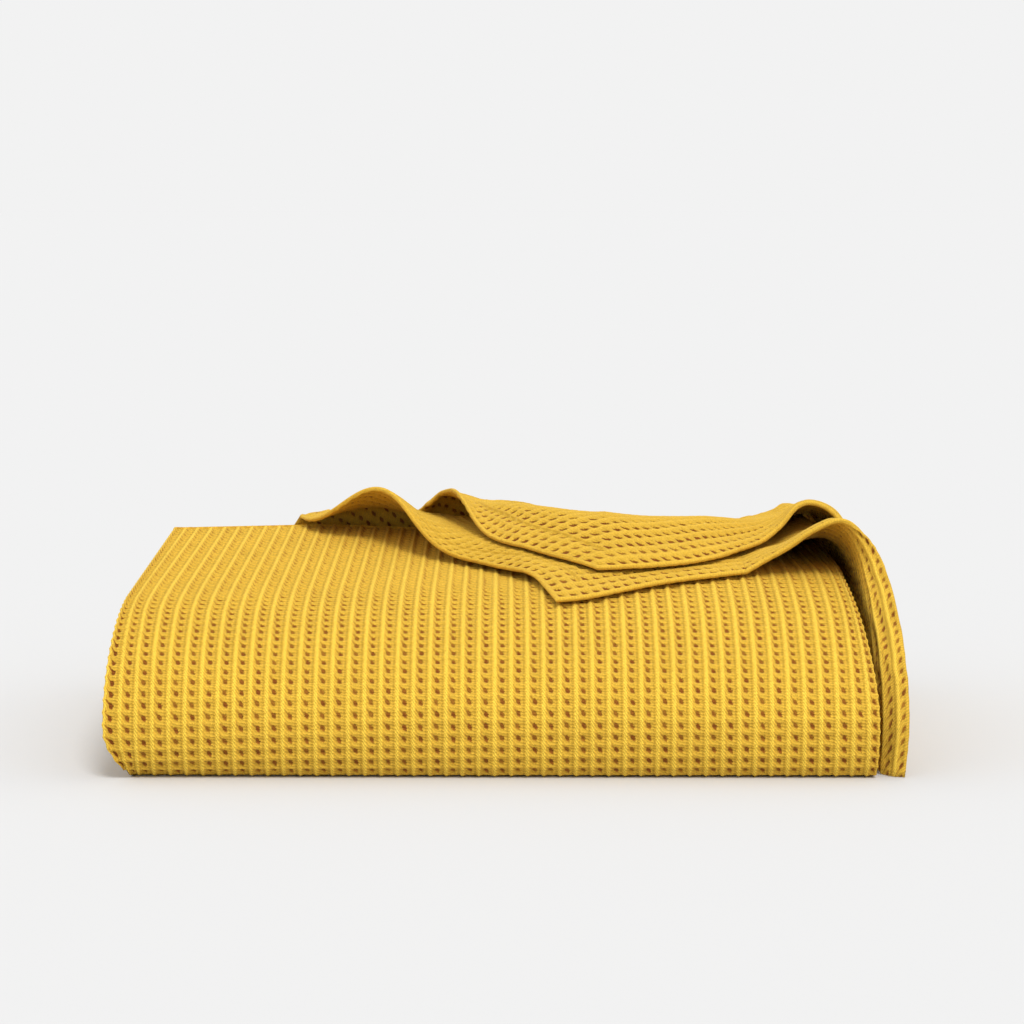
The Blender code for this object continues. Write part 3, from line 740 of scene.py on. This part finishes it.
# rise = (t + sqrt(1 + c) - sqrt((1 - t)^2 + c)) / 2 from the corner's edge (t 0) to the crest
# (t 1), and partly down again to the back
def billow(table, corner, x, depth):
    edge, hemLine = corner["edge"], corner["front"]
    beside = np.asarray(x)[..., None] + billowShape["blend"]
    lineX, lineDepth = edge["x"] + hemLine["x"][1:], edge["depth"] + hemLine["depth"][1:]
    start = np.interp(beside, lineX, lineDepth).mean(axis=-1)
    height, length, back = (np.interp(x, table["x"], table[name])
                            for name in ("height", "length", "back"))
    part, bend = np.maximum((depth - start) / length, 0), billowShape["crest"]
    rise = (part + np.sqrt(1 + bend) - np.sqrt((1 - part) ** 2 + bend)) / 2
    crest = start + length
    fallen = ease(depth, crest, np.maximum(pile["backStart"], crest + length))
    return height * (rise - (1 - back) * fallen)


# the top ply's height, a ply's distance, and the waves and billows of the corners
def lowerHeight(x, depth):
    lift = wave(lowerWave, x, depth) + billow(lowerBillow, lowerCorner, x, depth)
    return topHeight(x, depth) + pile["ply"] + lift


def upperHeight(x, depth):
    lift = wave(upperWave, x, depth) + billow(upperBillow, upperCorner, x, depth)
    lift = lift * ease(x, upperBase["start"], upperBase["end"])
    return lowerHeight(x, depth) + pile["ply"] + lift


# A corner's left edge and front edge, and the fall at its right: the flared front edge (mouth)
# and the plain side behind it. Its last entries say how its back ply hangs.
lowerCorner = {
    "name": "lower-corner",
    "height": lowerHeight,
    "edge": {
        "x": [-0.1400, -0.1310, -0.1130, -0.0855, -0.0560, -0.0200, 0.0095, 0.0255],
        "depth": [0.292, 0.270, 0.2475, 0.229, 0.196, 0.163, 0.122, 0.075],
    },
    "front": {
        "x": [0.0255, 0.0470, 0.0900, 0.1200, 0.1400],
        "depth": [0.075, 0.0795, 0.100, 0.1105, 0.1175],
    },
    "fall": {
        "mouthX": [0.1400, 0.1525, 0.1650, 0.1790, 0.1955, 0.2085,
                   0.2183, 0.2232, 0.2243, 0.2238, 0.2215],
        "mouthDepth": [0.1175, 0.1193, 0.1160, 0.1115, 0.1080, 0.1040,
                       0.0920, 0.0620, 0.0290, 0.0125, 0.0105],
        "mouthZ": [0.1013, 0.1085, 0.1163, 0.1268, 0.1335, 0.1265,
                   0.1110, 0.0860, 0.0570, 0.0290, 0.0004],
        "x": [0.1400, 0.1525, 0.1650, 0.1780, 0.1905, 0.2010,
              0.2075, 0.2088, 0.2088, 0.2088, 0.2085],
        "z": [0.1013, 0.1045, 0.1075, 0.1128, 0.1156, 0.1110,
              0.0985, 0.0780, 0.0520, 0.0270, 0.0004],
    },
    "frontal": 1.0,  # how far the low front edge turns to face the front
    "backX": -0.0076,  # how far the fall draws in towards the pile at the back
    "topLines": 271,  # columns of vertices on top and down the fall, and rows
    "fallLines": 74,
    "rowLines": 190,
    "hung": 10 / 18,  # part of the fall that hangs from the back too
    "reach": pile["innerReach"],
    "low": innerLow,
    "plies": 1,  # how many plies above the pile's top ply it lies
    "bottom": None,  # depth to which it goes on under the pile
}
upperCorner = {
    "name": "upper-corner",
    "height": upperHeight,
    "edge": {
        "x": [-0.0570, -0.0440, -0.0350, -0.0140, 0.0160, 0.0510],
        "depth": [0.292, 0.266, 0.240, 0.187, 0.146, 0.111],
    },
    "front": {
        "x": [0.0510, 0.0800, 0.1070, 0.1270, 0.1430],
        "depth": [0.111, 0.116, 0.124, 0.138, 0.155],
    },
    "fall": {
        "mouthX": [0.1430, 0.1545, 0.1660, 0.1770, 0.1885, 0.2010, 0.2120, 0.2165, 0.2165],
        "mouthDepth": [0.1550, 0.1665, 0.1755, 0.1820, 0.1880, 0.1920, 0.1920, 0.1960, 0.2000],
        "mouthZ": [0.1092, 0.1128, 0.1212, 0.1330, 0.1340, 0.1262, 0.1070, 0.0780, 0.0420],
        "x": [0.1430, 0.1545, 0.1670, 0.1790, 0.1915, 0.2050, 0.2132, 0.2146, 0.2146],
        "z": [0.1092, 0.1120, 0.1150, 0.1190, 0.1215, 0.1165, 0.1010, 0.0760, 0.0400],
    },
    "frontal": 0.0,
    "backX": -0.0085,
    "topLines": 201,
    "fallLines": 80,
    "rowLines": 190,
    "hung": 8 / 11,
    "reach": pile["outerReach"],
    "low": halfCloth,
    "plies": 2,
    "bottom": front["underDepth"],
}
# how far behind its front edge a corner's right end is flared sideways, raised, or turned to
# face the front, which begins and ends at two parts of the way down
flare = {"length": 0.024, "raised": 0.070, "frontal": 0.013, "from": 0.35, "to": 0.62}
# parts of the way back, and of the way down, between which the fall starts to draw in
drawnIn = {"back": (0.55, 1.0), "down": (0.25, 0.5)}
hem = {
    "holesAt": 0.0056,  # first row of holes, from the edge
    "holesWidth": 0.0026,
    "belowRib": 0.0150,  # a rib on the underside, from the edge
    "band": 0.0225,
    "bandSoft": 0.002,
    "leftRatio": 1.05,  # how much narrower the band is along the left edge
    "shallow": 0.75,  # how deep its other holes are
    "flatter": 0.4,  # how much less hollow it is between the ribs
    "open": 1.25,  # how open the holes are, which sets how dark their painted shade is, and how much less in the band
    "lessOpen": 0.35,
    "groove": {"depth": 0.5, "width": 0.0012},
    "crease": {"at": 0.0034, "depth": 0.12, "width": 0.0007},  # along the very edge
    "wobble": 0.0007,  # how far a hem's edge strays in and out
    "wobbleFades": 0.008,
    "wobbleStarts": 0.02,  # distance from the corner's tip
    "roundLines": 18,
    "edgeParts": [0.0012, 0.0025],  # close lines at the left edge, as parts of the way across
}
outerWeave = {
    "hollow": 0.30,
    "pitWidth": 0.25,
    "pitHeight": 0.30,
    "ribs": 0.2,
    "reliefStarts": (0.0020, 0.0042),
}
# the underside, which is ribbed where it hangs, and has taller pits and no ribs on top
innerWeave = {
    "pit": 0.8,
    "topWidth": 0.13,
    "topHeight": 0.36,
    "topEnds": (0.20, 0.24),  # from the left edge
    "topFlatter": 0.5,
    "lessRibbed": 0.8,
    "edgeShift": 0.0011,
    "shiftEnds": (0.003, 0.006),
    "reliefStarts": (0.0006, 0.0018),
}
backPly = {"lines": 60, "bottomLines": 110, "start": -0.1}
# lines kept on a corner's inner side: every so many rows and columns, and all columns from so
# many before the fall
innerLines = {"rows": 2, "columns": 3, "beforeFall": 12}


# the corner: rows from the front edge (0) to the back shoulder (last), columns from the left
# edge across the pile and down its right side. The front edge flares: behind it the fall
# comes back by (1 - t)^2 of the way, and low down, where it turns to face the front, by a
# quarter of an ellipse, 1 - sqrt(1 - (1 - t)^2)
def cornerGrid(corner):
    full = pile["backStart"] - corner["fall"]["mouthDepth"][-1]
    turn = np.linspace(0, np.pi / 2, hem["roundLines"])
    closeRows = flare["frontal"] / full * (1 - np.cos(turn))
    otherRows = np.linspace(closeRows[-1], 1, corner["rowLines"] - len(turn) + 1)[1:]
    lag = np.concatenate([closeRows, otherRows])[:, None]
    across = np.linspace(0, 1, corner["topLines"] - len(hem["edgeParts"]))
    across = np.unique(np.concatenate([hem["edgeParts"], across]))
    lineX, lineDepth = smoothLine(corner["front"], ("x", "depth"), np.linspace(0, 1, 60))
    edgeX, edgeDepth = smoothLine(corner["edge"], ("x", "depth"), 1 - lag[:, 0])
    edgeX, edgeDepth = edgeX[:, None], edgeDepth[:, None]
    x = edgeX + (lineX[-1] - edgeX) * across
    near = np.interp(lineX[0] + across * (lineX[-1] - lineX[0]), lineX, lineDepth)
    near = (1 - lag) * near + lag * pile["backStart"]
    near = near + (edgeDepth - near[:, :1]) * (1 - across) ** 2
    top = points(x, near, corner["height"](x, near))
    down = np.linspace(0, 1, corner["fallLines"] + 1)[1:]
    names = ("mouthX", "mouthDepth", "mouthZ", "x", "z")
    mouthX, mouthDepth, mouthZ, fallX, fallZ = smoothLine(corner["fall"], names, down)
    behind = lag * (pile["backStart"] - mouthDepth)
    plain = np.clip(1 - behind / flare["length"], 0, 1) ** 2
    turned = 1 - np.sqrt(1 - np.clip(1 - behind / flare["frontal"], 0, 1) ** 2)
    frontal = ease(down, flare["from"], flare["to"]) * corner["frontal"]
    out = plain + (turned - plain) * frontal
    inwards = corner["backX"] * ease(lag, *drawnIn["back"]) * ease(down, *drawnIn["down"])
    sideX = fallX + (mouthX - fallX) * out + inwards
    sideZ = fallZ + (mouthZ - fallZ) * (1 - ease(behind, 0, flare["raised"]))
    sideZ = sideZ + (top[:, -1:, 2] - corner["fall"]["z"][0]) * (1 - down) ** 3
    return np.concatenate([top, points(sideX, mouthDepth + behind, sideZ)], axis=1)


# the ply behind the pile: rows down a superellipse from the corner's last row
def backGrid(corner, top):
    low = corner["low"]
    left = leftEdge(low, pile["depth"] / 2)
    here = np.linspace(0, 1, len(top))
    fallen = top[:, 2] - corner["height"](top[:, 0], pile["backStart"])
    step = np.linspace(1, 0, backPly["lines"])[:, None]
    plain = left + (pile["rightInside"] - left) * here
    x = plain + (top[:, 0] - plain) * ease(step, backPly["start"], 1.0)
    level = topHeight(x, pile["backStart"]) + pile["ply"] * corner["plies"]
    high = corner["height"](x, pile["backStart"]) + fallen
    high = level + (high - level) * ease(step, pile["backLift"], 1.0)
    depth, height = backFold(corner["reach"], low, high, step)
    rows = points(x, depth, height)
    rows[0] = top
    if corner["bottom"] is not None:
        step = np.linspace(0, 1, backPly["bottomLines"])[1:, None]
        depth = pile["backStart"] + (corner["bottom"] - pile["backStart"]) * step
        rows = np.concatenate([rows, points(x[-1], depth, low)])
    return rows


# outside of a hemmed piece: ribs counted from the front edge and rows from the left edge. The
# band along a hem is shallow, but for its first row of holes, and ends in a groove
def hemmedOutside(fromFront, fromLeft, rounding):
    a = (fromFront - hem["holesAt"]) / weave["ribPitch"] + weave["pitAt"]
    b = (fromLeft - hem["holesAt"]) / weave["rowPitch"] + 0.5
    nearest = np.minimum(fromFront, fromLeft * hem["leftRatio"])
    inBand = 1 - ease(nearest, hem["band"] - hem["bandSoft"], hem["band"] + hem["bandSoft"])
    first = bump(nearest, hem["holesAt"], hem["holesWidth"])
    strength = 1 - inBand * (1 - hem["shallow"]) * (1 - first)
    inward = ease(nearest, *outerWeave["reliefStarts"])
    pit = pitIn(a, b, weave["pitAt"], outerWeave["pitWidth"], outerWeave["pitHeight"]) * strength
    hollow = outerWeave["hollow"] * hollowIn(a, b) * (1 - hem["flatter"] * inBand)
    groove, crease = hem["groove"], hem["crease"]
    sunk = (hollow + pit) * inward
    sunk = sunk + groove["depth"] * bump(nearest, hem["band"], groove["width"])
    sunk = sunk + crease["depth"] * bump(nearest, crease["at"], crease["width"])
    sunk = np.clip(sunk, 0, 1)
    return {
        "a": a, "b": b, "sunk": sunk, "ribs": 0 * a + outerWeave["ribs"],
        "holes": inward * (hem["open"] - hem["lessOpen"] * inBand * (1 - first)),
        "height": (halfCloth - weave["cornerRelief"] * sunk) * rounding,
    }


# its underside: the same weave seen from below, with open holes right at the edge
def hemmedInside(fromFront, fromLeft, rounding):
    shift = innerWeave["edgeShift"] * (1 - ease(fromFront, *innerWeave["shiftEnds"]))
    a = (hem["belowRib"] - (fromFront - shift)) / weave["ribPitch"]
    b = fromLeft / weave["rowPitch"]
    nearest = np.minimum(fromFront, fromLeft)
    inward = ease(nearest, *innerWeave["reliefStarts"])
    onTop = 1 - ease(fromLeft, *innerWeave["topEnds"])
    tall = pitIn(a, b, weave["pitAt"], innerWeave["topWidth"], innerWeave["topHeight"])
    pit = pitIn(a, b, weave["pitAt"]) * (1 - onTop) + tall * onTop
    sunk = hollowIn(a, b) * (1 - innerWeave["topFlatter"] * onTop) + innerWeave["pit"] * pit
    sunk = np.clip(sunk, 0, 1) * inward
    return {
        "a": a, "b": b, "sunk": sunk, "ribs": 1 - innerWeave["lessRibbed"] * onTop,
        "holes": inward,
        "height": (halfCloth - weave["cornerRelief"] * sunk) * rounding,
    }


# the hem's edge strays in and out by 0.6 sin(u) + 0.4 sin(2.7 u), u a full turn for each row
def frayed(grid):
    fromFront, fromLeft = running(grid, 0), running(grid, 1)
    inwards = np.gradient(grid, axis=0)
    inwards = inwards / np.linalg.norm(inwards, axis=2, keepdims=True)
    turn = fromLeft * 2 * np.pi / weave["rowPitch"]
    stray = 0.6 * np.sin(turn) + 0.4 * np.sin(2.7 * turn)
    fade = 1 - ease(fromFront, 0, hem["wobbleFades"])
    fade = fade * ease(fromLeft, 0, hem["wobbleStarts"])
    return grid + inwards * (hem["wobble"] * (1 + stray) / 2 * fade)[..., None]


# a corner and the ply that hangs from its last row. The inner side has fewer lines, but all of
# them where the cloth bends most
def makeCorner(corner):
    grid = frayed(cornerGrid(corner))
    fromFront, fromLeft = running(grid, 0), running(grid, 1)
    edge = np.minimum(np.minimum(fromFront, fromLeft), fromLeft[:, -1:] - fromLeft)
    rounding = roundedEdge(edge)
    roundRows = np.arange(0, 2 * hem["roundLines"])
    keptRows = np.unique(np.append(roundRows, everyNth(len(grid), innerLines["rows"])))
    fallStart = corner["topLines"]
    topColumns = np.arange(0, fallStart, innerLines["columns"])
    fallColumns = np.arange(fallStart - innerLines["beforeFall"], grid.shape[1])
    keptColumns = np.unique(np.append(topColumns, fallColumns))
    layCloth(corner["name"], grid, hemmedOutside(fromFront, fromLeft, rounding),
             hemmedInside(fromFront, fromLeft, rounding), keptRows, keptColumns)

    hung = fallStart + int(corner["hung"] * corner["fallLines"])
    back = backGrid(corner, grid[-1, :hung])[:, ::2]
    fromFront = fromFront[-1, :hung:2] + running(back, 0)
    fromLeft = running(back, 1)
    rounding = roundedEdge(np.minimum(fromLeft, fromLeft[:, -1:] - fromLeft))
    name = corner["name"].replace("corner", "back")
    keptRows, keptColumns = everyNth(len(back), 2), everyNth(back.shape[1], 2)
    layCloth(name, back, hemmedOutside(fromFront, fromLeft, rounding),
             hemmedInside(fromFront, fromLeft, rounding), keptRows, keptColumns)


makeCorner(lowerCorner)
makeCorner(upperCorner)
print("corners laid")

# room
room = {
    "grey": 0.888,
    "sun": 1.75,
    "sunSpread": 20,
    "sunTilt": (34, 13),  # degrees towards the front and the right
    "floor": 60,
    "lens": 96.73,
    "sensor": 36,
    "cameraPlace": (0, -1.6685, 0.3317),
    "cameraDown": 6.796,  # degrees
}


def makeRoom():
    scene = bpy.context.scene
    scene.view_settings.view_transform = "Standard"
    world = bpy.data.worlds.new("room")
    world.use_nodes = True
    world.node_tree.nodes["Background"].inputs[0].default_value = (*[room["grey"]] * 3, 1)
    scene.world = world
    bpy.ops.mesh.primitive_plane_add(size=room["floor"], location=(0, 0, 0))
    floor = bpy.context.object
    floor.name = "floor"
    paper = bpy.data.materials.new("floor paper")
    # as bright in the open as the room behind it: grey / (grey + sun cos(tilt) / pi)
    ahead, right = np.radians(room["sunTilt"])
    lit = room["grey"] + room["sun"] * np.cos(ahead) * np.cos(right) / np.pi
    paperGrey = room["grey"] / lit
    paper.use_nodes = True
    shader = paper.node_tree.nodes["Principled BSDF"]
    shader.inputs["Base Color"].default_value = (*[paperGrey] * 3, 1)
    shader.inputs["Roughness"].default_value = 1.0
    shader.inputs["Specular IOR Level"].default_value = 0.0
    floor.data.materials.append(paper)
    light = bpy.data.lights.new("window", "SUN")
    light.energy = room["sun"]
    light.angle = np.radians(room["sunSpread"])
    lamp = bpy.data.objects.new("window", light)
    lamp.rotation_euler = (ahead, right, 0)
    bpy.context.collection.objects.link(lamp)
    lens = bpy.data.cameras.new("camera")
    lens.lens = room["lens"]
    lens.sensor_width = room["sensor"]
    camera = bpy.data.objects.new("camera", lens)
    camera.location = room["cameraPlace"]
    camera.rotation_euler = (np.radians(90 - room["cameraDown"]), 0, 0)
    bpy.context.collection.objects.link(camera)
    scene.camera = camera


makeRoom()
